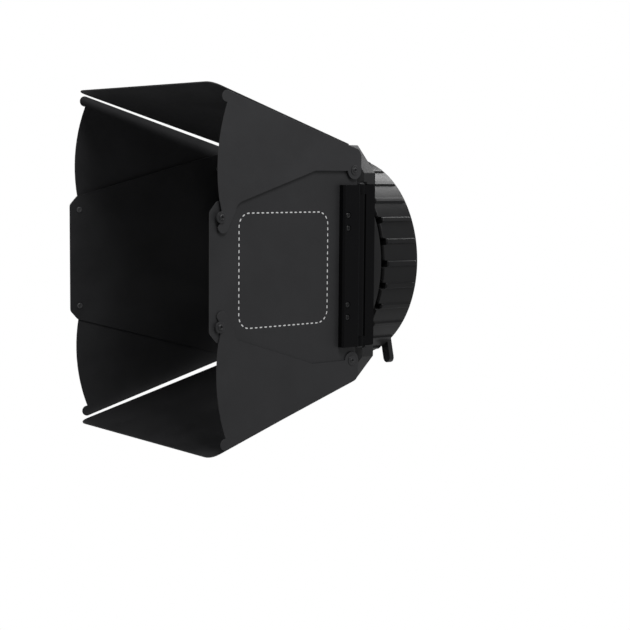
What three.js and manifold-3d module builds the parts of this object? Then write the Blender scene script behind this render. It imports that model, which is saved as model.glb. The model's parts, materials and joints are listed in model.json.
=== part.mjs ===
// Barn door attachment for a stage or film light. Millimetres, +Z up.
// The beam runs along -Y, the rear mount face lies in the plane Y = 0 and
// the beam axis is the line X = 0, Z = 0.
import * as THREE from "three";
import { mergeVertices } from "three/addons/utils/BufferGeometryUtils.js";
import Module from "manifold-3d";

const wasm = await Module();
wasm.setup();

// ---- driving dimensions -------------------------------------------------
const hingeY = -108; // plane of the four hinge axes
const hingeX = 130; // side hinge axes, left and right of the beam
const hingeZ = 131; // top and bottom hinge axes
const sideFlare = 4.4; // degrees the side doors open out at rest
const topFlare = 17; // degrees the top and bottom doors open out at rest

const beamR = 89; // clear bore for the light
const sleeveR = 97.2; // bearing journal of the mount sleeve
const ringR = 118; // outside of the adapter ring and the collar
const gap = 0.3; // working gap between touching pieces
const round = 60; // segments in a large circle

const wall = 8; // outer wall of the door frame
const faceOut = 2; // frame side face, outside of the hinge axis
const frameFront = 3.5; // frame front, behind the hinge axes
const frameBack = 20; // frame back, behind the hinge axes
const corner = 31; // corner cut of the octagon

const hingeHalf = 89; // half length of each hinge
const knuckleR = 5;
const pinR = 2.2;
const pinBore = 2.5;
const blockReach = 32; // how far the hinge block runs along the door
const blockTop = 8.5; // top of the hinge block over the door plane

const leafStart = 5.8; // sheet starts this far in front of the axis
const leafT = 1.6; // door sheet
const wingT = 1.2; // wing sheet
const leafLength = 212.9; // top and bottom doors
const leafRear = 117.8; // half width at the hinge
const leafFront = 139.7; // half width at the front
const panelLength = 211; // side panel

const pivotD = 12.4; // wing pivot along the side panel
const pivotW = 105; // wing pivot above the middle
const pivotShank = 2.2;
const guideR = 193.4; // guide screw, from the wing pivot
const guideAngle = -14.6; // degrees, at rest
const guideShank = 2.3;

const ribCount = 29; // grip ribs round the collar
const ribTurn = -0.3; // degrees from +X up to the first rib
const ribR = 119.4; // top of the ribs
const gripR = 117.6; // surface between the ribs

const rad = (degrees) => (degrees * Math.PI) / 180;
const at = (r, degrees) => [r * Math.cos(rad(degrees)), r * Math.sin(rad(degrees))];

// ---- finishes -----------------------------------------------------------
const finishes = {
  coat: { color: 0x2b2b2d, roughness: 0.62, metalness: 0.1 },
  inner: { color: 0x151516, roughness: 0.7, metalness: 0.1 },
  anodised: { color: 0x1c1c1e, roughness: 0.42, metalness: 0.6 },
  steel: { color: 0x8b8d90, roughness: 0.35, metalness: 0.9 },
  blacked: { color: 0x232325, roughness: 0.4, metalness: 0.8 },
  nylon: { color: 0x101010, roughness: 0.7, metalness: 0 },
};

const group = new THREE.Group();
group.name = "barn_door_attachment";

// ---- solids -------------------------------------------------------------
function solidOf(geometry) {
  const bare = geometry.clone();
  bare.deleteAttribute("normal");
  bare.deleteAttribute("uv");
  const merged = mergeVertices(bare, 1e-4);
  const index = merged.index.array;
  const kept = [];
  for (let i = 0; i < index.length; i += 3) {
    const [a, b, c] = [index[i], index[i + 1], index[i + 2]];
    if (a !== b && b !== c && c !== a) kept.push(a, b, c);
  }
  const vertProperties = new Float32Array(merged.attributes.position.array);
  const triVerts = new Uint32Array(kept);
  const mesh = new wasm.Mesh({ numProp: 3, vertProperties, triVerts });
  return new wasm.Manifold(mesh);
}

function geometryOf(solid) {
  const mesh = solid.getMesh();
  const geometry = new THREE.BufferGeometry();
  const points = new Float32Array(mesh.vertProperties);
  geometry.setAttribute("position", new THREE.BufferAttribute(points, 3));
  geometry.setIndex(new THREE.BufferAttribute(new Uint32Array(mesh.triVerts), 1));
  return geometry;
}

const join = (...solids) => solids.reduce((all, next) => all.add(next));
const cut = (solid, ...tools) => tools.reduce((left, tool) => left.subtract(tool), solid);

// A ring or stud turned about the Y axis from a closed profile of [r, y].
function turned(profile, segments = round) {
  const points = profile.map(([r, y]) => new THREE.Vector2(r, y));
  const onAxis = profile[0][0] === 0;
  if (!onAxis) points.push(points[0].clone());
  return solidOf(new THREE.LatheGeometry(points, segments));
}

const rod = (r, y0, y1, segments = 16) =>
  turned([[0, y0], [r, y0], [r, y1], [0, y1]], segments);

function box([x0, x1], [y0, y1], [z0, z1]) {
  const geometry = new THREE.BoxGeometry(x1 - x0, y1 - y0, z1 - z0);
  geometry.translate((x0 + x1) / 2, (y0 + y1) / 2, (z0 + z1) / 2);
  return solidOf(geometry);
}

function outline(points) {
  const shape = new THREE.Shape();
  points.forEach(([x, y], i) => (i ? shape.lineTo(x, y) : shape.moveTo(x, y)));
  return shape;
}

// A flat piece in the XY plane from z0 to z1.
function plate(points, z0, z1) {
  const options = { depth: z1 - z0, bevelEnabled: false };
  const geometry = new THREE.ExtrudeGeometry(outline(points), options);
  geometry.translate(0, 0, z0);
  return solidOf(geometry);
}

// The same piece drawn in X and Z and running along Y.
function axial(points, y0, y1) {
  const options = { depth: y1 - y0, bevelEnabled: false };
  const geometry = new THREE.ExtrudeGeometry(outline(points), options);
  geometry.rotateX(Math.PI / 2);
  geometry.translate(0, y1, 0);
  return solidOf(geometry);
}

const shifted = (solid, x, y, z) => solid.translate([x, y, z]);
const stood = (solid) => solid.rotate([90, 0, 0]); // turns the Y axis to Z

function arc([x, y], r, from, to, steps) {
  const points = [];
  for (let i = 0; i <= steps; i += 1) {
    const [dx, dy] = at(r, from + ((to - from) * i) / steps);
    points.push([x + dx, y + dy]);
  }
  return points;
}

// Outline with every corner rounded by the radius that goes with it.
function softened(points, radii, steps = 6) {
  const result = [];
  points.forEach((p, i) => {
    const before = points[(i + points.length - 1) % points.length];
    const after = points[(i + 1) % points.length];
    const a = new THREE.Vector2(before[0] - p[0], before[1] - p[1]).normalize();
    const b = new THREE.Vector2(after[0] - p[0], after[1] - p[1]).normalize();
    const half = Math.acos(a.dot(b)) / 2;
    const reach = radii[i] / Math.tan(half);
    const start = [p[0] + a.x * reach, p[1] + a.y * reach];
    const end = [p[0] + b.x * reach, p[1] + b.y * reach];
    for (let k = 0; k <= steps; k += 1) {
      const t = k / steps;
      const [u, v, w] = [(1 - t) * (1 - t), 2 * t * (1 - t), t * t];
      result.push([0, 1].map((j) => u * start[j] + v * p[j] + w * end[j]));
    }
  });
  return result;
}

// ---- seats --------------------------------------------------------------
// Door axes: x runs along the door away from its hinge, y along the hinge
// and z out of the beam. A side is "right", "left", "top" or "bottom".
function seat(side, flare) {
  const upright = side === "top" || side === "bottom";
  const s = side === "right" || side === "top" ? 1 : -1;
  const [c, n] = [Math.cos(rad(flare)), s * Math.sin(rad(flare))];
  const along = new THREE.Vector3(upright ? 0 : n, -c, upright ? n : 0);
  const across = new THREE.Vector3(upright ? 1 : 0, 0, upright ? 0 : 1);
  const tilt = Math.sin(rad(flare));
  const out = new THREE.Vector3(upright ? 0 : s * c, tilt, upright ? s * c : 0);
  const matrix = new THREE.Matrix4().makeBasis(along, across, out);
  const middle = [upright ? 0 : s * hingeX, hingeY, upright ? s * hingeZ : 0];
  matrix.setPosition(...middle);
  return matrix;
}

const doorSeat = {
  right: seat("right", sideFlare),
  left: seat("left", sideFlare),
  top: seat("top", topFlare),
  bottom: seat("bottom", topFlare),
};

function placed(solid, matrix) {
  const geometry = geometryOf(solid);
  geometry.applyMatrix4(matrix);
  if (matrix.determinant() < 0) {
    const index = geometry.index.array;
    for (let i = 0; i < index.length; i += 3) {
      [index[i + 1], index[i + 2]] = [index[i + 2], index[i + 1]];
    }
  }
  return geometry;
}

function add(name, solid, finish, matrix = null) {
  const geometry = matrix ? placed(solid, matrix) : geometryOf(solid);
  geometry.computeVertexNormals();
  const mesh = new THREE.Mesh(geometry, new THREE.MeshStandardMaterial(finishes[finish]));
  mesh.name = name;
  group.add(mesh);
}

// Depths behind the hinge plane, written as y in the mount frame.
const deep = (profile) => profile.map(([r, y]) => [r, y + hingeY]);
const Y = (depth) => depth + hingeY;

// ---- mount: sleeve, rear flange and their rings ---------------------------
const screwCircle = (beamR + sleeveR) / 2;
const sleeveProfile = [
  [beamR, 22],
  [sleeveR, 22],
  [sleeveR, 25],
  [sleeveR - 2.6, 25],
  [sleeveR - 2.6, 27.6],
  [sleeveR, 27.6],
  [sleeveR, 45.6],
  [107, 45.6],
  [107, 50.9],
  [sleeveR, 50.9],
  [sleeveR, 58],
  [sleeveR - 1.8, 58],
  [sleeveR - 1.8, 60.6],
  [sleeveR, 60.6],
  [sleeveR, 92],
  [beamR, 92],
];
const flangeTurns = [45, 135, 225, 315];
const sleeveHoles = flangeTurns.map((turn) => {
  const [x, z] = at(screwCircle, turn);
  return shifted(rod(1.9, Y(82), Y(92.1), 12), x, 0, z);
});
add("mount_sleeve", cut(turned(deep(sleeveProfile)), ...sleeveHoles), "anodised");

const flangeProfile = [
  [beamR, 92.3],
  [107.5, 92.3],
  [107.5, 98.5],
  [sleeveR, 98.5],
  [sleeveR, 107.2],
  [sleeveR - 0.8, 108],
  [beamR, 108],
];
const lugs = [90, 210, 330].map((turn) => {
  const inner = arc([0, 0], sleeveR - 1, turn - 15, turn + 15, 6);
  const outer = arc([0, 0], 101.5, turn + 15, turn - 15, 6);
  return axial([...outer, ...inner], Y(103.5), Y(107));
});
const leverPivot = at(103.7, -58);
const flangeHoles = flangeTurns.flatMap((turn) => {
  const [x, z] = at(screwCircle, turn);
  const through = shifted(rod(1.9, Y(92), Y(108.1), 12), x, 0, z);
  const head = shifted(rod(3.2, Y(105.3), Y(108.1), 16), x, 0, z);
  return [through, head];
});
const leverHole = shifted(rod(2.3, Y(93.5), Y(98.6), 16), leverPivot[0], 0, leverPivot[1]);
const flange = join(turned(deep(flangeProfile)), ...lugs);
add("rear_flange", cut(flange, ...flangeHoles, leverHole), "anodised");

flangeTurns.forEach((turn, i) => {
  const [x, z] = at(screwCircle, turn);
  const profile = [
    [0, 83],
    [1.6, 83],
    [1.6, 105.6],
    [2.9, 105.6],
    [2.9, 107.2],
    [2.3, 107.7],
    [1.3, 107.7],
    [1.3, 106.4],
    [0, 106.4],
  ];
  add(`flange_screw_${i + 1}`, shifted(turned(deep(profile), 10), x, 0, z), "blacked");
});

// An open ring with a gap at the bottom, sprung into a groove.
function snapRing(r0, r1, depth0, depth1) {
  const outer = arc([0, 0], r1, -84, 264, 38);
  const inner = arc([0, 0], r0, 264, -84, 38);
  return axial([...outer, ...inner], Y(depth0), Y(depth1));
}
add("front_snap_ring", snapRing(sleeveR - 2.3, 101.5, 25.3, 27.3), "steel");
add("collar_snap_ring", snapRing(sleeveR - 1.5, 103, 58.3, 60.3), "steel");

const washerProfile = [
  [sleeveR + gap, 43.3],
  [106, 43.3],
  [106, 45.3],
  [sleeveR + gap, 45.3],
];
add("thrust_washer", turned(deep(washerProfile)), "nylon");

// ---- knurled collar -------------------------------------------------------
const collarProfile = [
  [sleeveR + 0.4, 51.3],
  [109.5, 51.3],
  [109.5, 46],
  [115.5, 46],
  [gripR, 47.3],
  [gripR, 96.5],
  [115.5, 98],
  [109.5, 98],
  [109.5, 57.7],
  [sleeveR + 0.4, 57.7],
];
const ribSection = [
  [gripR - 1, -3.4],
  [ribR, -2.4],
  [ribR, 2.4],
  [gripR - 1, 3.4],
];
const ribs = [];
const rimNotches = [];
for (let i = 0; i < ribCount; i += 1) {
  const turn = [0, -ribTurn - (360 / ribCount) * i, 0];
  ribs.push(axial(ribSection, Y(51.2), Y(95.3)).rotate(turn));
  rimNotches.push(box([108, 120], [Y(45), Y(51.2)], [-4, 4]).rotate(turn));
}
const collarBlank = join(turned(deep(collarProfile), 90), ...ribs);
add("knurled_collar", cut(collarBlank, ...rimNotches), "nylon");

// ---- rotation lock lever --------------------------------------------------
const leverEnd = [62, -116.6];
const leverRun = [leverEnd[0] - leverPivot[0], leverEnd[1] - leverPivot[1]];
const leverTurn = (Math.atan2(leverRun[1], leverRun[0]) * 180) / Math.PI;
const leverOutline = [
  ...arc(leverEnd, 6, leverTurn - 90, leverTurn + 90, 10),
  ...arc(leverPivot, 6, leverTurn + 90, leverTurn + 270, 10),
];
const leverBore = shifted(rod(2.4, Y(98), Y(107), 16), leverPivot[0], 0, leverPivot[1]);
add("lock_lever", cut(axial(leverOutline, Y(98.9), Y(105.7)), leverBore), "blacked");
const leverScrewProfile = [
  [0, 94],
  [2, 94],
  [2, 106],
  [4.2, 106],
  [4.2, 107],
  [3.2, 107.7],
  [1.5, 107.7],
  [1.5, 106.7],
  [0, 106.7],
];
const leverScrew = turned(deep(leverScrewProfile), 16);
add("lever_pivot_screw", shifted(leverScrew, leverPivot[0], 0, leverPivot[1]), "steel");

// ---- rotating adapter ring and door frame -----------------------------------
const adapterProfile = [
  [sleeveR + 0.4, 28],
  [104, 28],
  [104, frameBack + gap],
  [116.5, frameBack + gap],
  [ringR, 21.8],
  [ringR, 41.5],
  [116.5, 43],
  [sleeveR + 0.4, 43],
];
const frameScrewCircle = 111;
const frameScrewTurns = [45, 135, 225, 315];
const adapterHoles = frameScrewTurns.map((turn) => {
  const [x, z] = at(frameScrewCircle, turn);
  return shifted(rod(2, Y(20), Y(30), 12), x, 0, z);
});
add("adapter_ring", cut(turned(deep(adapterProfile)), ...adapterHoles), "anodised");

// Octagon made of a rectangle with its corners cut off at 45 degrees.
function octagon(halfX, halfZ, chamfer) {
  const [x, z] = [halfX - chamfer, halfZ - chamfer];
  const quarter = [[halfX, -z], [halfX, z], [x, halfZ], [-x, halfZ]];
  return [...quarter, ...quarter.map(([px, pz]) => [-px, -pz])];
}
const [frameX, frameZ] = [hingeX + faceOut, hingeZ + faceOut];
const inset = corner - wall * (2 - Math.SQRT2);
const pocket = octagon(frameX - wall, frameZ - wall, inset);
const frameBlank = cut(
  axial(octagon(frameX, frameZ, corner), Y(frameFront), Y(frameBack)),
  cut(axial(pocket, Y(frameFront - 1), Y(17)), rod(103, Y(9), Y(18), round)),
  rod(99, Y(frameFront - 1), Y(frameBack + 1), round),
);
const notches = ["right", "left", "top", "bottom"].flatMap((side) => {
  const matrix = seat(side, 0);
  const front = box([-8, -2], [-hingeHalf - 3, hingeHalf + 3], [-12, 4]);
  const recess = box([-22, -7.9], [-hingeHalf - 0.4, hingeHalf + 0.4], [-1.3, 4]);
  return [front, recess].map((tool) => solidOf(placed(tool, matrix)));
});
const frameHoles = frameScrewTurns.map((turn) => {
  const [x, z] = at(frameScrewCircle, turn);
  return shifted(rod(2, Y(16), Y(21), 12), x, 0, z);
});
add("door_frame", cut(frameBlank, ...notches, ...frameHoles), "coat");

frameScrewTurns.forEach((turn, i) => {
  const [x, z] = at(frameScrewCircle, turn);
  const profile = [
    [0, 14.4],
    [2.6, 14.4],
    [3.6, 15.2],
    [3.6, 16.7],
    [1.7, 16.7],
    [1.7, 29],
    [0, 29],
  ];
  add(`frame_screw_${i + 1}`, shifted(turned(deep(profile), 12), x, 0, z), "blacked");
});

// ---- hinges -----------------------------------------------------------------
const earLength = 10; // fixed ears that carry the pin at its two ends
const barrelHalf = hingeHalf - earLength - 0.4;
const fixedKnuckles = [[-hingeHalf, earLength - hingeHalf], [hingeHalf - earLength, hingeHalf]];
const doorKnuckles = [[-barrelHalf, barrelHalf]];
const pinHole = rod(pinBore, -hingeHalf - 1, hingeHalf + 1);

const hingeBase = cut(
  join(
    box([-frameBack + gap, -7], [-hingeHalf, hingeHalf], [-1, faceOut]),
    ...fixedKnuckles.flatMap((span) => [
      rod(knuckleR, span[0], span[1]),
      box([-7.7, 0], span, [-4.5, faceOut]),
    ]),
  ),
  pinHole,
);

const blockSection = [
  [leafStart - 0.2, 1.1],
  [blockReach, 1.1],
  [blockReach, blockTop - 2],
  [blockReach - 2, blockTop],
  [9.5, blockTop],
  [leafStart - 0.2, 5.6],
];
const hingeBlock = cut(
  join(
    stood(plate(blockSection, -hingeHalf, hingeHalf)),
    ...doorKnuckles.flatMap((span) => [
      rod(knuckleR, span[0], span[1]),
      box([0, 6.4], span, [1.1, 4.9]),
    ]),
  ),
  pinHole,
);

const pinProfile = [
  [0, -91.5],
  [3.4, -91.5],
  [4.2, -90.7],
  [4.2, -89.4],
  [pinR, -89.4],
  [pinR, 89.4],
  [4.2, 89.4],
  [4.2, 90.7],
  [3.4, 91.5],
  [0, 91.5],
];
const pin = turned(pinProfile, 16);
for (const side of ["right", "left", "top", "bottom"]) {
  add(`hinge_base_${side}`, hingeBase, "inner", seat(side, 0));
  add(`hinge_pin_${side}`, pin, "blacked", seat(side, 0));
  add(`hinge_block_${side}`, hingeBlock, "inner", doorSeat[side]);
}

// ---- top and bottom doors -----------------------------------------------------
const leafCorners = [
  [leafStart, -leafRear],
  [leafLength, -leafFront],
  [leafLength, leafFront],
  [leafStart, leafRear],
];
const leaf = plate(softened(leafCorners, [4, 12, 12, 4]), -leafT / 2, leafT / 2);
add("door_top", leaf, "coat", doorSeat.top);
add("door_bottom", leaf, "coat", doorSeat.bottom);

// ---- side doors ---------------------------------------------------------------
const pivot = [pivotD, pivotW];
const guideFrom = at(guideR, guideAngle);
const guide = [pivotD + guideFrom[0], pivotW + guideFrom[1]];
const panelCorners = [
  [leafStart, -125],
  [202, -72],
  [panelLength, -62],
  [panelLength, 62],
  [202, 72],
  [leafStart, 125],
];
const panelRadii = [9, 4, 6, 6, 4, 9];
const studHoles = [pivot, guide].flatMap(([d, w]) =>
  [w, -w].map((y) => shifted(stood(rod(2.6, -3, 3, 16)), d, y, 0)),
);
const panelBlank = plate(softened(panelCorners, panelRadii), -leafT / 2, leafT / 2);
const panel = cut(panelBlank, ...studHoles);

// Wing: a rounded lobe on the pivot, a long top edge up to an ear, an edge on
// an arc about the pivot that rides on the guide screw, and a hook below it.
const edgeR = guideR - guideShank - 0.5;
const rearEdge = pivotD - 10;
const shoulderR = 9;
const earR = 6;
const hook = [196.2, 46.8];
const wingOutline = (rise) => [
  ...arc(pivot, 10, 180, 356, 12),
  [45, 104.3],
  [70, 104.3],
  [172, 72.2],
  ...arc([170, 62], 9.6, 60, 8, 5),
  ...arc(hook, 7, 205, 350, 8),
  ...arc(guide, 2.9, 250, 190, 4),
  ...arc(pivot, edgeR, guideAngle + 1.5, 20.6 + rise / 3.4, 12),
  ...arc([191.4 - rise / 2, 179 + rise], earR, -95, 106.7, 10),
  ...arc([rearEdge + shoulderR, 119.8 + 1.4 * rise], shoulderR, 106.7, 180, 5),
];
const wingRise = { right: 0, left: 3 }; // the left wings are cut a little taller
const wingHole = shifted(stood(rod(2.6, -9, 9, 16)), pivotD, pivotW, 0);
const wingUnder = leafT / 2 + gap;
const wingOver = wingUnder + wingT + gap;
const wingAt = (z, rise) => cut(plate(wingOutline(rise), z, z + wingT), wingHole);
const spacerProfile = [[2.6, wingUnder], [6, wingUnder], [6, wingOver - gap], [2.6, wingOver - gap]];

// Studs stand on the panel with their heads outside: a flange and a raised
// head, a shank through both sheets and a flattened tail inside.
function stud({ shank, flangeR, flangeT, headR, headT, socketR }, sheetTop) {
  const base = sheetTop + gap;
  const top = base + flangeT + headT;
  const tail = -leafT / 2 - gap;
  const profile = [
    [0, tail - 1],
    [3, tail - 1],
    [3.4, tail - 0.5],
    [3.4, tail],
    [shank, tail],
    [shank, base],
    [flangeR, base],
    [flangeR, base + flangeT],
    [headR, base + flangeT],
    [headR - headT / 2, top],
    [socketR, top],
    [socketR, top - 0.7],
    [0, top - 0.7],
  ];
  return stood(turned(profile, 12));
}

const pivotSize = {
  shank: pivotShank,
  flangeR: 5.4,
  flangeT: 0.6,
  headR: 3,
  headT: 0.8,
  socketR: 1.3,
};
const guideSize = {
  shank: guideShank,
  flangeR: 6,
  flangeT: 0.9,
  headR: 4.7,
  headT: 2.3,
  socketR: 1.3,
};

const mirror = new THREE.Matrix4().makeScale(1, -1, 1);
for (const side of ["right", "left"]) {
  const upper = doorSeat[side];
  const lower = upper.clone().multiply(mirror);
  add(`side_panel_${side}`, panel, "coat", upper);
  const halves = [["upper", upper, wingOver], ["lower", lower, wingUnder]];
  for (const [half, matrix, z] of halves) {
    const top = z + wingT;
    const pivotStud = shifted(stud(pivotSize, top), pivotD, pivotW, 0);
    const guideStud = shifted(stud(guideSize, top), guide[0], guide[1], 0);
    add(`wing_${side}_${half}`, wingAt(z, wingRise[side]), "coat", matrix);
    add(`wing_pivot_${side}_${half}`, pivotStud, "blacked", matrix);
    add(`wing_guide_${side}_${half}`, guideStud, "blacked", matrix);
  }
  const spacer = shifted(stood(turned(spacerProfile, 16)), pivotD, pivotW, 0);
  add(`wing_spacer_${side}`, spacer, "nylon", upper);
}

export default group;
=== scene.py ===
# Looks of a barn door attachment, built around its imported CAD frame.
# Metres, +Z up. The light travels along -Y, and +X is the side of the right door.
import json
from math import cos, pi, radians, sin

import bmesh
import bpy
from mathutils import Matrix, Vector


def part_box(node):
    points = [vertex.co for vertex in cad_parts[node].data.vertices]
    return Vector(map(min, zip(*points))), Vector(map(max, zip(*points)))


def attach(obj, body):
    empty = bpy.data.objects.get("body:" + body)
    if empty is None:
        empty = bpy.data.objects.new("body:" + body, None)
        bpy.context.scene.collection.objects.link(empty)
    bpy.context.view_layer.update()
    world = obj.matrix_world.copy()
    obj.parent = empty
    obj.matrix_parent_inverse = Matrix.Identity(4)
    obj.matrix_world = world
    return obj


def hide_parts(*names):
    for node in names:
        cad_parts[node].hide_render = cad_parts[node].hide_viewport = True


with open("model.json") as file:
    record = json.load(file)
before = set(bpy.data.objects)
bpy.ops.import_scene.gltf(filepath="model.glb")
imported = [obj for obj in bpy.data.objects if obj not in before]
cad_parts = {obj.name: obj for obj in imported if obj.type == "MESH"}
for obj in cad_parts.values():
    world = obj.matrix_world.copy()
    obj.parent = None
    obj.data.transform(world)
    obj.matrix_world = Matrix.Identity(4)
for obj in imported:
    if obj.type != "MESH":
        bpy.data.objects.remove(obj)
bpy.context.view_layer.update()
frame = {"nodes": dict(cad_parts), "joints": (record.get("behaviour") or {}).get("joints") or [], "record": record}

# ---- what the frame says ------------------------------------------------------
mm = 0.001
nodes = frame["nodes"]
joints = {joint["name"]: joint for joint in frame["joints"]}
groups = frame["record"]["behaviour"]["bodies"]
body_of = {node: body for body, members in groups.items() for node in members}
slot_of = {row["node"]: row["material_slot"] for row in frame["record"]["subparts"]}
hinge_x, hinge_y, _ = joints["right_door_hinge"]["pos_m"]
hinge_z = joints["top_door_hinge"]["pos_m"][2]
sides = ("right", "left", "top", "bottom")
halves = ("upper", "lower")
screw_numbers = (1, 2, 3, 4)

# ---- sizes, in millimetres ----------------------------------------------------
side_flare = 4.4  # degrees that the side doors open out at rest
top_flare = 17.0  # degrees that the top and bottom doors open out at rest
bore_r = 89.0  # clear bore for the light
sleeve_r = 97.2  # outside of the mount sleeve
ring_r = 118.0  # outside of the adapter ring
grip_r = 117.6  # collar between its ribs
rib_height = 1.8
rib_count = 29
rib_turn = -0.3  # degrees from +X up to the first rib
sheet_top = 0.8  # outer face of a door sheet, over its middle
wing_tops = {"upper": 3.8, "lower": 2.3}  # outer face of each wing
stud_gap = 0.05  # between a wing and the flange of its stud
tail_gap = 0.3  # between a door sheet and the inner end of a stud
pivot_d, pivot_w = 12.4, 105.0  # wing pivot along the door and along its hinge
guide_r = 193.4  # guide stud, from the wing pivot
guide_angle = -14.6  # degrees
block_top = 8.5  # outer face of a hinge block
screw_d = 25.0  # screws of a hinge block, along the door
screw_rows = (-56.0, -42.0, 42.0, 56.0)  # and along the hinge
screw_seat_r, screw_seat_t = 3.6, 1.5

# Width of the rounded edges on the parts that keep their CAD shape.
frame_edge = 0.8
lever_edge = 1.4
block_edge = 0.45
base_edge = 0.4
sheet_edge = 0.35
wing_edge = 0.3
spacer_edge = 0.2

ring_steps = 240  # segments round a large ring
screw_steps = 36  # segments round a screw
cutter_steps = 40  # segments round a cutting tool
sharp_angle = 32  # degrees between two faces, from which their edge is rounded
flat_angle = 1  # degrees, up to which two faces become one
weld = 0.004  # points of a CAD mesh this close become one

# ---- lighting -----------------------------------------------------------------
fill_strength = 0.19  # radiance of the light that comes from all round
top_power = 19.0  # watts
side_power = 2.2
key_power = 28.0
front_power = 7.5


def depth(y):
    """A depth behind the hinge plane, in millimetres, as a place in the frame."""
    return hinge_y + y * mm


def round_beam(r, y, turn):
    """The place at radius r and depth y, turned about the beam axis from +X."""
    return r * cos(turn) * mm, depth(y), r * sin(turn) * mm


# ---- meshes ---------------------------------------------------------------------
def mesh_of(bm, name):
    """The bmesh as a mesh, with every face smooth and its normals facing out."""
    bmesh.ops.recalc_face_normals(bm, faces=bm.faces)
    for face in bm.faces:
        face.smooth = True
    mesh = bpy.data.meshes.new(name)
    bm.to_mesh(mesh)
    bm.free()
    return mesh


def placed(mesh, matrix):
    """The mesh moved to the axes given, with its normals out even where they mirror it."""
    mesh.transform(matrix)
    if matrix.determinant() < 0:
        mesh.flip_normals()
    return mesh


def linked(name, data):
    """A new object in the scene with the mesh, camera or light given."""
    piece = bpy.data.objects.new(name, data)
    bpy.context.collection.objects.link(piece)
    return piece


def baked(piece):
    """Puts the result of the piece's modifiers into its mesh."""
    graph = bpy.context.evaluated_depsgraph_get()
    mesh = bpy.data.meshes.new_from_object(piece.evaluated_get(graph))
    piece.modifiers.clear()
    piece.data = mesh
    return piece


def rounded_edges(piece, width, segments=2):
    """Rounds the sharp edges and weights the normals, so that flat faces stay flat."""
    bevel = piece.modifiers.new("edges", "BEVEL")
    bevel.width = width * mm
    bevel.segments = segments
    bevel.limit_method = "ANGLE"
    bevel.angle_limit = radians(sharp_angle)
    piece.modifiers.new("normals", "WEIGHTED_NORMAL").keep_sharp = True
    return baked(piece)


def combined(piece, tool, operation):
    """Adds a closed piece to another or cuts it away, and removes it."""
    boolean = piece.modifiers.new("boolean", "BOOLEAN")
    boolean.operation = operation
    boolean.object = tool
    boolean.solver = "EXACT"
    baked(piece)
    bpy.data.objects.remove(tool)


def carved(piece, cutters):
    """Cuts closed meshes out of the piece."""
    for mesh in cutters:
        combined(piece, linked("cutter", mesh), "DIFFERENCE")


def finished(piece, body, slot, *replaced, material=None):
    """Gives the piece its material, the one for its slot unless another is given, and its body, and hides the CAD
    parts it replaces.
    """
    piece.data.materials.clear()
    piece.data.materials.append(material or materials[slot])
    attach(piece, body)
    if replaced:
        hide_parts(*replaced)
    return piece


def softened(profile, radius, steps=3):
    """A closed outline with every corner rounded, by less where its sides are short."""
    points = [Vector(point) for point in profile]
    result = []
    for i, point in enumerate(points):
        before = points[i - 1] - point
        after = points[(i + 1) % len(points)] - point
        reach = min(radius, 0.45 * before.length, 0.45 * after.length)
        start = point + before.normalized() * reach
        end = point + after.normalized() * reach
        for k in range(steps + 1):
            t = k / steps
            result.append((1 - t) ** 2 * start + 2 * t * (1 - t) * point + t * t * end)
    return result


def skin(bm, loops, closed=False):
    """Faces from each loop of points to the next, and over the ends unless they meet."""
    after_each = loops[1:] + loops[:1] if closed else loops[1:]
    for before, after in zip(loops, after_each):
        for i in range(len(before)):
            bm.faces.new((before[i - 1], before[i], after[i], after[i - 1]))
    if not closed:
        bm.faces.new(loops[0])
        bm.faces.new(loops[-1])


def turned(name, profile, radius=0.3):
    """A ring turned about the Y axis from a closed profile of radius and depth."""
    section = softened(profile, radius)
    bm = bmesh.new()
    turns = [2 * pi * k / ring_steps for k in range(ring_steps)]
    loops = [[bm.verts.new(round_beam(r, y, turn)) for r, y in section] for turn in turns]
    skin(bm, loops, closed=True)
    return linked(name, mesh_of(bm, name))


def swept_ring(name, section, start, end, steps):
    """Part of a ring about the Y axis, from one angle to another, with closed ends."""
    section = softened(section, 0.3)
    bm = bmesh.new()
    turns = [radians(start + (end - start) * k / steps) for k in range(steps + 1)]
    loops = [[bm.verts.new(round_beam(r, y, turn)) for r, y in section] for turn in turns]
    skin(bm, loops)
    return linked(name, mesh_of(bm, name))


def spun(name, rings, matrix):
    """A solid turned about its own Z axis. Each ring is a radius and a height in
    millimetres, with True after them where the ring is hexagonal."""
    bm = bmesh.new()
    loops = []
    for radius, height, *hexagonal in rings:
        loop = []
        for k in range(screw_steps):
            turn = 2 * pi * k / screw_steps
            r = radius / cos((turn + pi / 6) % (pi / 3) - pi / 6) if hexagonal else radius
            loop.append(bm.verts.new((r * cos(turn) * mm, r * sin(turn) * mm, height * mm)))
        loops.append(loop)
    skin(bm, loops)
    piece = linked(name, placed(mesh_of(bm, name), matrix))
    piece.modifiers.new("normals", "WEIGHTED_NORMAL")
    return baked(piece)


def cutting_rod(r, length, matrix):
    """A plain rod to cut with, along the Z axis of the axes given."""
    bm = bmesh.new()
    bmesh.ops.create_cone(bm, cap_ends=True, segments=cutter_steps, radius1=r * mm,
                          radius2=r * mm, depth=length * mm)
    return placed(mesh_of(bm, "rod"), matrix)


def cad_shape(node):
    """A new piece with a CAD node's shape, in whole faces in place of triangles."""
    bm = bmesh.new()
    bm.from_mesh(nodes[node].data)
    bmesh.ops.remove_doubles(bm, verts=bm.verts, dist=weld * mm)
    bmesh.ops.dissolve_limit(bm, angle_limit=radians(flat_angle), verts=bm.verts, edges=bm.edges)
    return linked(node + "_fine", mesh_of(bm, node + "_fine"))


def refined(node, width, segments=2, material=None):
    """A CAD node's shape with rounded edges."""
    piece = rounded_edges(cad_shape(node), width, segments)
    return finished(piece, body_of[node], slot_of[node], node, material=material)


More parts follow.
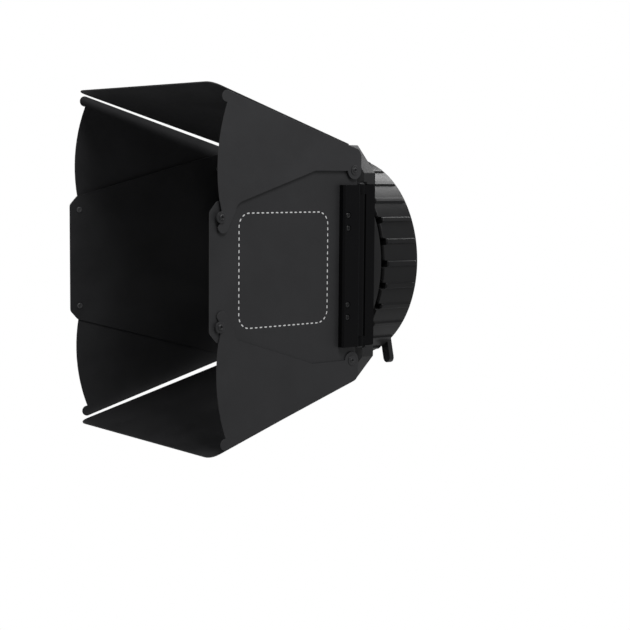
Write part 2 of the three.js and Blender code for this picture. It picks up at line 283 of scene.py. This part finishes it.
# ---- axes -------------------------------------------------------------------------
def seat(side, flare):
    """Axes of a door: X along it from its hinge, Y along the hinge, Z out of the beam."""
    sign = 1 if side in ("right", "top") else -1
    c, s = cos(radians(flare)), sin(radians(flare))
    if side in ("top", "bottom"):
        along, across, out = (0, -c, sign * s), (1, 0, 0), (0, s, sign * c)
        middle = (0, hinge_y, sign * hinge_z)
    else:
        along, across, out = (sign * s, -c, 0), (0, 0, 1), (sign * c, s, 0)
        middle = (sign * hinge_x, hinge_y, 0)
    matrix = Matrix((along, across, out)).transposed().to_4x4()
    matrix.translation = Vector(middle)
    return matrix


flares = {"right": side_flare, "left": side_flare, "top": top_flare, "bottom": top_flare}
door_seat = {side: seat(side, flares[side]) for side in sides}


def on_door(side, d, w, n=0.0):
    """Axes of a fastener on a door: d along it, w along the hinge and n out of it."""
    return door_seat[side] @ Matrix.Translation((d * mm, w * mm, n * mm))


def along_y(x, z, y, back=False):
    """Axes of a fastener that points to -Y, or to +Y at the back, x and z in metres."""
    turn = Matrix.Rotation(-pi / 2 if back else pi / 2, 4, "X")
    return Matrix.Translation((x, depth(y), z)) @ turn


def screw_place(node):
    """The x and z of the middle of a screw, in metres."""
    low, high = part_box(node)
    return (low.x + high.x) / 2, (low.z + high.z) / 2


# ---- materials ----------------------------------------------------------------------
def new_node(tree, kind, inputs=None, **settings):
    """A shader node with its settings made and its inputs set or linked."""
    made = tree.nodes.new("ShaderNode" + kind)
    for key, value in settings.items():
        setattr(made, key, value)
    for key, value in (inputs or {}).items():
        if isinstance(value, bpy.types.NodeSocket):
            tree.links.new(value, made.inputs[key])
        else:
            made.inputs[key].default_value = value
    return made


def noise(tree, place, scale, detail):
    """A noise value from 0 to 1, mostly between 0.3 and 0.7."""
    inputs = {"Vector": place, "Scale": scale, "Detail": detail, "Roughness": 0.6}
    return new_node(tree, "TexNoise", inputs).outputs["Fac"]


def spread(tree, value, low, high, start=0.3, end=0.7):
    """The value from start to end as a number from low to high."""
    inputs = {"Value": value, "From Min": start, "From Max": end, "To Min": low, "To Max": high}
    return new_node(tree, "MapRange", inputs).outputs["Result"]


def math_node(tree, operation, a, b):
    """One step of arithmetic on numbers or sockets."""
    return new_node(tree, "Math", {0: a, 1: b}, operation=operation).outputs[0]


def turned_place(tree, place):
    """Coordinates that are the same all round the beam axis: radius and depth."""
    axes = new_node(tree, "SeparateXYZ", {0: place}).outputs
    flat = new_node(tree, "CombineXYZ", {0: axes[0], 1: axes[2]}).outputs[0]
    radius = new_node(tree, "VectorMath", {0: flat}, operation="LENGTH").outputs["Value"]
    return new_node(tree, "CombineXYZ", {0: radius, 1: axes[1]}).outputs[0]


def edge_mask(tree, radius):
    """1 on an outer edge, fading to 0 on the faces beside it."""
    soft = new_node(tree, "Bevel", {"Radius": radius * mm}, samples=4).outputs[0]
    sharp = new_node(tree, "NewGeometry").outputs["Normal"]
    facing = new_node(tree, "VectorMath", {0: soft, 1: sharp}, operation="DOT_PRODUCT")
    return spread(tree, facing.outputs["Value"], 1.0, 0.0, start=0.86, end=0.99)


def finish(name, colour, roughness, grain, bump, metallic=0.0, cloud=0.12, wear_and_highlight=0.5,
           wear_and_highlight_colour=None, turned_lines=False, specular=0.5, grain_depth=0.08):
    """A finish with fine grain, slow variation in colour and gloss, and lighter edges that are partly wear and
    partly a painted highlight.

    grain is the size of the grain in millimetres, grain_depth its height and bump its
    strength. cloud is how far the colour drifts. The two edge arguments give the most that an edge takes
    of a lighter colour, and that colour; these lighter edges are partly wear and partly a painted highlight
    along edges and rims. The grain runs in lines round the beam axis with turned_lines.
    """
    material = bpy.data.materials.new(name)
    material.use_nodes = True
    tree = material.node_tree
    surface = tree.nodes["Principled BSDF"]
    place = new_node(tree, "TexCoord").outputs["Object"]
    lines = turned_place(tree, place) if turned_lines else place
    # Noise has its scale in features to the metre.
    fine = noise(tree, lines, 1000 / grain, 3.0)
    slow = noise(tree, place, 22.0, 4.0)
    specks = noise(tree, place, 420.0, 1.0)

    shade = math_node(tree, "MULTIPLY", spread(tree, slow, 1 - cloud, 1 + cloud),
                      spread(tree, fine, 0.88, 1.12))
    scaled = new_node(tree, "VectorMath", {0: colour, "Scale": shade}, operation="SCALE")
    base = scaled.outputs[0]
    # Lighter outer edges: partly wear, partly a painted highlight standing in for light catching edges and rims.
    if wear_and_highlight:
        wear_and_highlight_mask = math_node(tree, "MULTIPLY", edge_mask(tree, 0.5), spread(tree, specks, 0.1, wear_and_highlight))
        wear_and_highlight_tint = wear_and_highlight_colour or tuple(2.6 * value for value in colour)
        mix = new_node(tree, "Mix", {0: wear_and_highlight_mask, 6: base, 7: (*wear_and_highlight_tint, 1)}, data_type="RGBA")
        base = mix.outputs[2]
    tree.links.new(base, surface.inputs["Base Color"])

    gloss = math_node(tree, "ADD", spread(tree, slow, roughness - 0.06, roughness + 0.06),
                      spread(tree, fine, -0.05, 0.05))
    tree.links.new(gloss, surface.inputs["Roughness"])
    height = math_node(tree, "ADD", fine, spread(tree, slow, 0.0, 0.4))
    inputs = {"Height": height, "Strength": bump, "Distance": grain_depth * mm}
    tree.links.new(new_node(tree, "Bump", inputs).outputs[0], surface.inputs["Normal"])
    surface.inputs["Metallic"].default_value = metallic
    surface.inputs["Specular IOR Level"].default_value = specular
    return material


# Name, colour, roughness, size of the grain in millimetres and strength of the bump.
materials = {
    "coat": finish("powder_coat", (0.0275, 0.0275, 0.0290), 0.52, 0.7, 0.35, specular=0.4),
    "inner": finish("dark_coat", (0.0040, 0.0040, 0.0045), 0.60, 0.5, 0.5, specular=0.10,
                    wear_and_highlight_colour=(0.010, 0.010, 0.0105)),
    "anodised": finish("black_anodised", (0.012, 0.012, 0.0125), 0.38, 0.5, 0.35,
                       turned_lines=True, specular=0.3, wear_and_highlight=0.8, wear_and_highlight_colour=(0.16, 0.16, 0.165)),
    "steel": finish("plain_steel", (0.28, 0.28, 0.29), 0.40, 0.35, 0.3, metallic=1.0, wear_and_highlight=0.0),
    # The lighter edges of this finish also paint the bright rims of the stud heads: painted highlight as well as
    # wear.
    "blacked": finish("black_oxide", (0.022, 0.022, 0.0235), 0.42, 0.4, 0.3, wear_and_highlight=0.7,
                      wear_and_highlight_colour=(0.09, 0.09, 0.092)),
    "nylon": finish("black_nylon", (0.012, 0.012, 0.012), 0.62, 0.5, 0.4),
    "grip": finish("moulded_grip", (0.0125, 0.0125, 0.013), 0.42, 0.6, 0.5, wear_and_highlight=0.5,
                   specular=0.27, wear_and_highlight_colour=(0.05, 0.05, 0.052)),
}
# Lighter copy of the powder coat for the upper wings: painted light, standing in for the extra light that falls on
# them, not a different paint.
upper_wing_painted_light_coat = finish("upper_wing_painted_light_coat", (0.0315, 0.0315, 0.0332), 0.50, 0.7, 0.35, specular=0.42)
frame_coat = finish("frame_coat", (0.024, 0.024, 0.0248), 0.55, 1.3, 0.8, specular=0.35,
                    grain_depth=0.16)
pressed_end = finish("pressed_end", (0.11, 0.11, 0.112), 0.42, 0.4, 0.3, metallic=0.5, wear_and_highlight=0.0)
deep_black = finish("deep_black", (0.007, 0.007, 0.0074), 0.30, 0.5, 0.3, specular=0.5,
                    wear_and_highlight_colour=(0.03, 0.03, 0.031))
ink = finish("white_ink", (0.80, 0.80, 0.80), 0.6, 0.4, 0.2, cloud=0.04, wear_and_highlight=0.0)


# ---- turned rings, as profiles of radius and depth --------------------------------------
def sleeve_profile():
    """The mount sleeve, with baffle grooves down its bore against stray light."""
    groove_from, groove_pitch, groove_width, groove_count = 28.0, 4.5, 1.6, 13
    groove_r = bore_r + 1
    bore = []
    for i in reversed(range(groove_count)):
        low = groove_from + i * groove_pitch
        high = low + groove_width
        bore += [(bore_r, high), (groove_r, high), (groove_r, low), (bore_r, low)]
    outside = [
        (bore_r, 22), (sleeve_r, 22),
        (sleeve_r, 25), (94.6, 25), (94.6, 27.6), (sleeve_r, 27.6),  # front snap ring
        (sleeve_r, 45.6), (107, 45.6), (107, 50.9), (sleeve_r, 50.9),  # shoulder
        (sleeve_r, 58), (95.4, 58), (95.4, 60.6), (sleeve_r, 60.6),  # collar's snap ring
        (sleeve_r, 92), (bore_r, 92),
    ]
    return outside + bore


def front_rings():
    """The mount sleeve, the adapter ring and the washer between it and the shoulder."""
    finished(turned("mount_sleeve_fine", sleeve_profile()), "mount", "anodised", "mount_sleeve")
    adapter = [(97.6, 28), (104, 28), (104, 20.3), (116.5, 20.3), (ring_r, 21.8), (ring_r, 41.5),
               (116.5, 43), (97.6, 43)]
    finished(turned("adapter_ring_fine", adapter, 0.5), "frame", "anodised", "adapter_ring")
    washer = [(97.5, 43.3), (106, 43.3), (106, 45.3), (97.5, 45.3)]
    finished(turned("thrust_washer_fine", washer), "mount", "nylon", "thrust_washer")


def rear_flange():
    """The flange with its three lugs, its screw seats and the bore of the lever."""
    profile = [(bore_r, 92.3), (107.5, 92.3), (107.5, 98.5), (sleeve_r, 98.5), (sleeve_r, 107),
               (96.2, 108), (bore_r, 108)]
    flange = turned("rear_flange_fine", profile, 0.4)
    lug_section = [(sleeve_r - 1, 103.5), (101.5, 103.5), (101.5, 107), (sleeve_r - 1, 107)]
    lug_half = 15  # degrees
    for turn in (90, 210, 330):
        lug = swept_ring("lug", lug_section, turn - lug_half, turn + lug_half, 24)
        combined(flange, lug, "UNION")

    screw_seat = (3.2, 105.3, 109)  # radius, and the depths it runs between
    lever_bore = (2.3, 93.5, 99)

    def cutter(x, z, r, y0, y1):
        return cutting_rod(r, y1 - y0, along_y(x, z, (y0 + y1) / 2))

    cutters = [cutter(*screw_place(f"flange_screw_{i}"), *screw_seat) for i in screw_numbers]
    lever_x, _, lever_z = joints["lever_swing"]["pos_m"]
    cutters.append(cutter(lever_x, lever_z, *lever_bore))
    carved(flange, cutters)
    finished(flange, "mount", "anodised", "rear_flange")


def snap_rings():
    """Two open rings of flat wire: inner and outer radius, front and back depth."""
    start, end, steps = -84, 264, 200  # in degrees, so that the gap is at the bottom
    for node, r0, r1, y0, y1 in (("front_snap_ring", 94.9, 101.5, 25.3, 27.3),
                                 ("collar_snap_ring", 95.7, 103, 58.3, 60.3)):
        section = [(r0, y0), (r1, y0), (r1, y1), (r0, y1)]
        ring = swept_ring(node + "_fine", section, start, end, steps)
        finished(ring, "mount", "steel", node)


# ---- grip collar ------------------------------------------------------------------------
def eased(t):
    """0 to 1 with a level start and end."""
    return t * t * (3 - 2 * t)


def collar():
    """The grip ring: raised ribs along it and a castellated front rim."""
    notch_back, notch_half = 51.2, 4.0  # notches in the rim, one before each rib
    notch_r = 108  # how far in they cut
    rib_from, rib_to, rib_ramp = 51.2, 94.8, 1.6  # ends of a rib and the slope at each
    rib_half, rib_side = 3.4, 1.3  # half width of a rib and the slope beside it
    profile = [
        (97.6, 51.3), (109.5, 51.3), (109.5, 46), (115.5, 46), (grip_r, 47.3),
        (grip_r, 96.5), (115.5, 98), (109.5, 98), (109.5, 57.7), (97.6, 57.7),
    ]
    section = softened(profile, 0.5)

    def outside(r):
        return r > grip_r - 0.01

    # More points along the outside, where the ribs begin, run and end.
    added = [rib_from, rib_from + 0.5, rib_from + 1.0, rib_from + rib_ramp, 60, 70, 80, 88,
             rib_to - rib_ramp, rib_to - 1.0, rib_to - 0.5, rib_to]
    at = next(i for i, (r, y) in enumerate(section) if outside(r) and y > rib_to)
    section[at:at] = [Vector((grip_r, y)) for y in added]

    # Places across half of a rib and the flat beside it, closest on the slope and at
    # the side of the notch.
    half_steps = [0.0, 1.2, 1.9, 2.2, 2.5, 2.8, 3.1, 3.4, 3.96, 4.04, 5.2, 7.0, 9.0, 11.0]
    pitch = 2 * pi * grip_r / rib_count
    across = [-a for a in reversed(half_steps[1:])] + half_steps + [pitch / 2]

    def rib(a, y):
        """Height of the rib at a millimetres from its middle and depth y."""
        side = min(max((rib_half - abs(a)) / rib_side, 0), 1)
        end = min(max((y - rib_from) / rib_ramp, 0), max((rib_to - y) / rib_ramp, 0), 1)
        return rib_height * eased(side) * eased(end)

    collar_weld = 0.003  # joins the points that a notch brings together
    bm = bmesh.new()
    loops = []
    for i in range(rib_count):
        for a in across:
            turn = radians(rib_turn) + 2 * pi * i / rib_count + a / grip_r
            loop = []
            for r, y in section:
                if abs(a) < notch_half and r > notch_r:
                    y = max(y, notch_back)
                if outside(r):
                    r += rib(a, y)
                loop.append(bm.verts.new(round_beam(r, y, turn)))
            loops.append(loop)
    skin(bm, loops, closed=True)
    bmesh.ops.remove_doubles(bm, verts=bm.verts, dist=collar_weld * mm)
    piece = linked("knurled_collar_fine", mesh_of(bm, "knurled_collar_fine"))
    piece.modifiers.new("normals", "WEIGHTED_NORMAL").keep_sharp = True
    finished(baked(piece), "collar", "grip", "knurled_collar")


# ---- fasteners, as rings of radius and height for spun() ------------------------------------
def pan_head(shank, flange_r, flange_t, head_r, head_t, socket, low, base):
    """A stud from its tail up: a shank, a flange, a domed head and a hexagonal socket."""
    under = base + flange_t
    top = under + head_t
    return [
        (shank - 0.3, low),
        (shank, low + 0.3),
        (shank, base),
        (flange_r - 0.2, base),
        (flange_r, base + 0.2),
        (flange_r, under - 0.25),
        (flange_r - 0.25, under),
        (head_r + 0.1, under),
        (head_r, under + 0.1),
        (head_r - 0.15 * head_t, under + 0.5 * head_t),
        (head_r - 0.45 * head_t, under + 0.85 * head_t),
        (head_r - 0.75 * head_t, top),
        (socket + 0.5, top),
        (socket + 0.2, top - 0.2, True),
        (socket, top - 0.4, True),
        (socket, top - 1.5, True),
    ]


def tail(matrix, name, body):
    """The flattened end of a stud on the inner face of the sheet."""
    low = -sheet_top - tail_gap
    pressed = [(1.2, low - 0.7), (1.6, low - 1.1), (2.6, low - 1.1), (3.2, low - 0.8),
               (3.4, low - 0.4), (3.4, low)]
    finished(spun(name, pressed, matrix), body, "blacked", material=pressed_end)


def wing_studs():
    """The stud each wing turns on and the one its curved edge rides on."""
    guide_d = pivot_d + guide_r * cos(radians(guide_angle))
    guide_w = pivot_w + guide_r * sin(radians(guide_angle))
    # Shank radius, flange radius and height, head radius and height, socket radius.
    studs = (
        ("pivot", pivot_d, pivot_w, (2.2, 5.4, 0.75, 3.0, 0.8, 1.3)),
        ("guide", guide_d, guide_w, (2.3, 6.0, 1.5, 3.5, 1.7, 1.4)),
    )
    for side in ("right", "left"):
        for half in halves:
            sign = 1 if half == "upper" else -1
            for kind, d, w, shape in studs:
                node = f"wing_{kind}_{side}_{half}"
                matrix = on_door(side, d, sign * w)
                profile = pan_head(*shape, -sheet_top, wing_tops[half] + stud_gap)
                finished(spun(node + "_fine", profile, matrix), f"{side}_door", "blacked", node)
                tail(matrix, node + "_tail", f"{side}_door")


def ring_screws():
    """The screws of the door frame and the rear flange, and the lever's pivot."""
    cap = [(1.7, -12), (1.7, 0), (3.5, 0), (3.6, 0.2), (3.6, 1.5), (3.1, 2.2), (2.6, 2.3),
           (1.7, 2.3), (1.45, 2.15, True), (1.3, 2.0, True), (1.3, 1.0, True)]
    flat = [(1.6, -22), (1.6, 0), (2.8, 0), (2.9, 0.2), (2.9, 1.6), (2.5, 2.05), (2.2, 2.1),
            (1.5, 2.1), (1.3, 1.95, True), (1.2, 1.8, True), (1.2, 0.9, True)]
    button = [(2, -12), (2, 0), (4.0, 0), (4.2, 0.2), (4.2, 0.9), (3.4, 1.5), (2.8, 1.65),
              (1.8, 1.65), (1.6, 1.5, True), (1.5, 1.35, True), (1.5, 0.5, True)]
    frame_seat, flange_seat, lever_seat = 16.7, 105.6, 106  # depths under the heads
    for stem, body, profile, y, back in (("frame_screw", "frame", cap, frame_seat, False),
                                         ("flange_screw", "mount", flat, flange_seat, True)):
        for i in screw_numbers:
            node = f"{stem}_{i}"
            matrix = along_y(*screw_place(node), y, back)
            finished(spun(node + "_fine", profile, matrix), body, "blacked", node)
    x, _, z = joints["lever_swing"]["pos_m"]
    screw = spun("lever_pivot_screw_fine", button, along_y(x, z, lever_seat, back=True))
    finished(screw, "mount", "steel", "lever_pivot_screw")


def hinge_pins():
    """The four pins, with a flattened button at each end."""
    end = [(0.6, 91.5), (3.2, 91.5), (3.9, 91.1), (4.2, 90.5), (4.2, 89.6), (4.0, 89.4),
           (2.2, 89.4)]
    profile = [(r, -w) for r, w in end] + [(r, w) for r, w in reversed(end)]
    along_hinge = Matrix.Rotation(-pi / 2, 4, "X")
    for side in sides:
        pin = spun(f"hinge_pin_{side}_fine", profile, seat(side, 0) @ along_hinge)
        finished(pin, "frame", "blacked", f"hinge_pin_{side}")


def hinge_blocks():
    """The block on each door beside its hinge, with four sunk screws."""
    head = [(1.8, -3), (1.8, 0.02), (3.0, 0.02), (3.1, 0.15), (3.1, 0.75), (2.7, 1.15),
            (2.3, 1.25), (1.6, 1.25), (1.4, 1.1, True), (1.3, 1.0, True), (1.3, 0.3, True)]
    rod_length = 4 * screw_seat_t
    from_floor = Matrix.Translation((0, 0, rod_length / 2 * mm))
    for side in sides:
        node = f"hinge_block_{side}"
        body = f"{side}_door"
        floors = [on_door(side, screw_d, w, block_top - screw_seat_t) for w in screw_rows]
        block = cad_shape(node)
        carved(block, [cutting_rod(screw_seat_r, rod_length, axes @ from_floor) for axes in floors])
        rounded_edges(block, block_edge)
        finished(block, body, "inner", node)
        for i, axes in zip(screw_numbers, floors):
            screw = spun(f"hinge_screw_{side}_{i}", head, axes)
            finished(screw, body, "blacked", material=deep_black)


# ---- printed outline on the side doors ------------------------------------------------------
def dashed_outline(side):
    """A plain dashed rectangle with round corners, printed on the outer face."""
    centre_d, half_d, half_w, corner = 111.0, 62.0, 60.0, 14.0
    dash, dash_pitch, dash_steps = 2.3, 6.5, 4
    width, thick = 1.3, 0.06
    straight_d, straight_w = half_d - corner, half_w - corner
    perimeter = 4 * (straight_d + straight_w) + 2 * pi * corner
    count = round(perimeter / dash_pitch)

    def station(s):
        """Place and direction at a length s round the outline."""
        s %= perimeter
        for quarter in range(4):
            turn = quarter * pi / 2
            reach, half_run = straight_d, straight_w
            if quarter % 2:
                reach, half_run = half_run, reach
            if s < 2 * half_run:
                x, y, angle = reach + corner, s - half_run, 0.0
                break
            s -= 2 * half_run
            if s < corner * pi / 2:
                angle = s / corner
                x, y = reach + corner * cos(angle), half_run + corner * sin(angle)
                break
            s -= corner * pi / 2
        heading = turn + pi / 2 + angle
        return x * cos(turn) - y * sin(turn), x * sin(turn) + y * cos(turn), heading

    def beside(place, turn):
        """The point half the line's width from a station, turned from its direction."""
        x, y, heading = place
        return x + width / 2 * cos(heading + turn), y + width / 2 * sin(heading + turn)

    bm = bmesh.new()
    for i in range(count):
        start = perimeter * i / count
        line = [station(start + dash * k / dash_steps) for k in range(dash_steps + 1)]
        rim = [beside(place, -pi / 2) for place in line]
        rim += [beside(line[-1], turn) for turn in (-pi / 4, 0, pi / 4)]
        rim += [beside(place, pi / 2) for place in reversed(line)]
        rim += [beside(line[0], turn) for turn in (pi * 3 / 4, pi, pi * 5 / 4)]
        levels = [[bm.verts.new(((centre_d + x) * mm, y * mm, n * mm)) for x, y in rim]
                  for n in (sheet_top - thick, sheet_top + thick)]
        skin(bm, levels)
    name = f"printed_outline_{side}"
    mesh = mesh_of(bm, name)
    for face in mesh.polygons:
        face.use_smooth = False
    printed = linked(name, placed(mesh, door_seat[side]))
    finished(printed, f"{side}_door", "coat", material=ink)


# ---- stage ----------------------------------------------------------------------------------
def camera():
    """The camera at the picture's viewing angle, with its lens for a 36 mm wide sensor."""
    azimuth, elevation, roll = radians(52.2786), radians(5.4945), radians(0.49836)
    focal_share = 2.41206  # focal length over the width of the picture
    place = (1.4314, -1.1763, 0.1062)
    level = cos(elevation)
    forward = Vector((-sin(azimuth) * level, cos(azimuth) * level, -sin(elevation)))
    right = Vector((cos(azimuth), sin(azimuth), 0))
    up = right.cross(forward)
    data = bpy.data.cameras.new("camera")
    data.sensor_width = 36
    data.lens = focal_share * data.sensor_width
    data.clip_end = 60
    eye = linked("camera", data)
    x_axis = right * cos(roll) + up * sin(roll)
    y_axis = up * cos(roll) - right * sin(roll)
    eye.matrix_world = Matrix((x_axis, y_axis, -forward)).transposed().to_4x4()
    eye.matrix_world.translation = Vector(place)
    bpy.context.scene.camera = eye


def area_light(name, place, size, power):
    """A soft rectangular light at a place, aimed at the object."""
    target = Vector((0, -0.12, 0))
    data = bpy.data.lights.new(name, "AREA")
    data.shape = "RECTANGLE"
    data.size, data.size_y = size
    data.energy = power
    light = linked(name, data)
    light.location = place
    light.rotation_euler = (target - Vector(place)).to_track_quat("-Z", "Y").to_euler()


def studio():
    """A white surround for the eye, a dim even fill and four soft lights."""
    world = bpy.data.worlds.new("studio")
    bpy.context.scene.world = world
    world.use_nodes = True
    tree = world.node_tree
    fill = tree.nodes["Background"]
    fill.inputs["Color"].default_value = (0.97, 0.98, 1, 1)
    fill.inputs["Strength"].default_value = fill_strength
    white = new_node(tree, "Background", {"Color": (1, 1, 1, 1), "Strength": 1.0}).outputs[0]
    seen = new_node(tree, "LightPath").outputs["Is Camera Ray"]
    both = new_node(tree, "MixShader", {0: seen, 1: fill.outputs[0], 2: white})
    tree.links.new(both.outputs[0], tree.nodes["World Output"].inputs["Surface"])
    area_light("top_light", (-0.25, 1.1, 1.45), (0.9, 0.9), top_power)
    area_light("side_light", (1.3, 1.5, -0.1), (1.4, 1.8), side_power)
    area_light("key_light", (1.5, -0.4, 1.7), (0.9, 0.9), key_power)
    area_light("front_light", (-0.8, -2.3, 0.3), (1.6, 1.6), front_power)
    settings = bpy.context.scene.view_settings
    settings.view_transform = "Standard"
    settings.look = "None"


def pale_floor():
    """A plain disc far enough below the object to stay out of the main view."""
    floor_z, floor_r, floor_steps = -1.2, 2.2, 96
    bm = bmesh.new()
    bmesh.ops.create_circle(bm, cap_ends=True, segments=floor_steps, radius=floor_r)
    floor = linked("floor", mesh_of(bm, "floor"))
    floor.location.z = floor_z
    floor.data.materials.append(finish("pale_floor", (0.9, 0.9, 0.9), 0.8, 4.0, 0.05,
                                       cloud=0.01, wear_and_highlight=0.0, specular=0.2))


# ---- the whole ------------------------------------------------------------------------------
camera()
studio()
pale_floor()
front_rings()
rear_flange()
snap_rings()
collar()
wing_studs()
ring_screws()
hinge_pins()
hinge_blocks()
refined("door_frame", frame_edge, material=frame_coat)
refined("lock_lever", lever_edge, segments=3, material=deep_black)
for side in sides:
    refined(f"hinge_base_{side}", base_edge)
for side in ("top", "bottom"):
    refined(f"door_{side}", sheet_edge)
for side in ("right", "left"):
    refined(f"side_panel_{side}", sheet_edge)
    refined(f"wing_spacer_{side}", spacer_edge)
    dashed_outline(side)
    # The upper wings take the lighter copy of the coat, which is painted light.
    refined(f"wing_{side}_upper", wing_edge, material=upper_wing_painted_light_coat)
    refined(f"wing_{side}_lower", wing_edge)
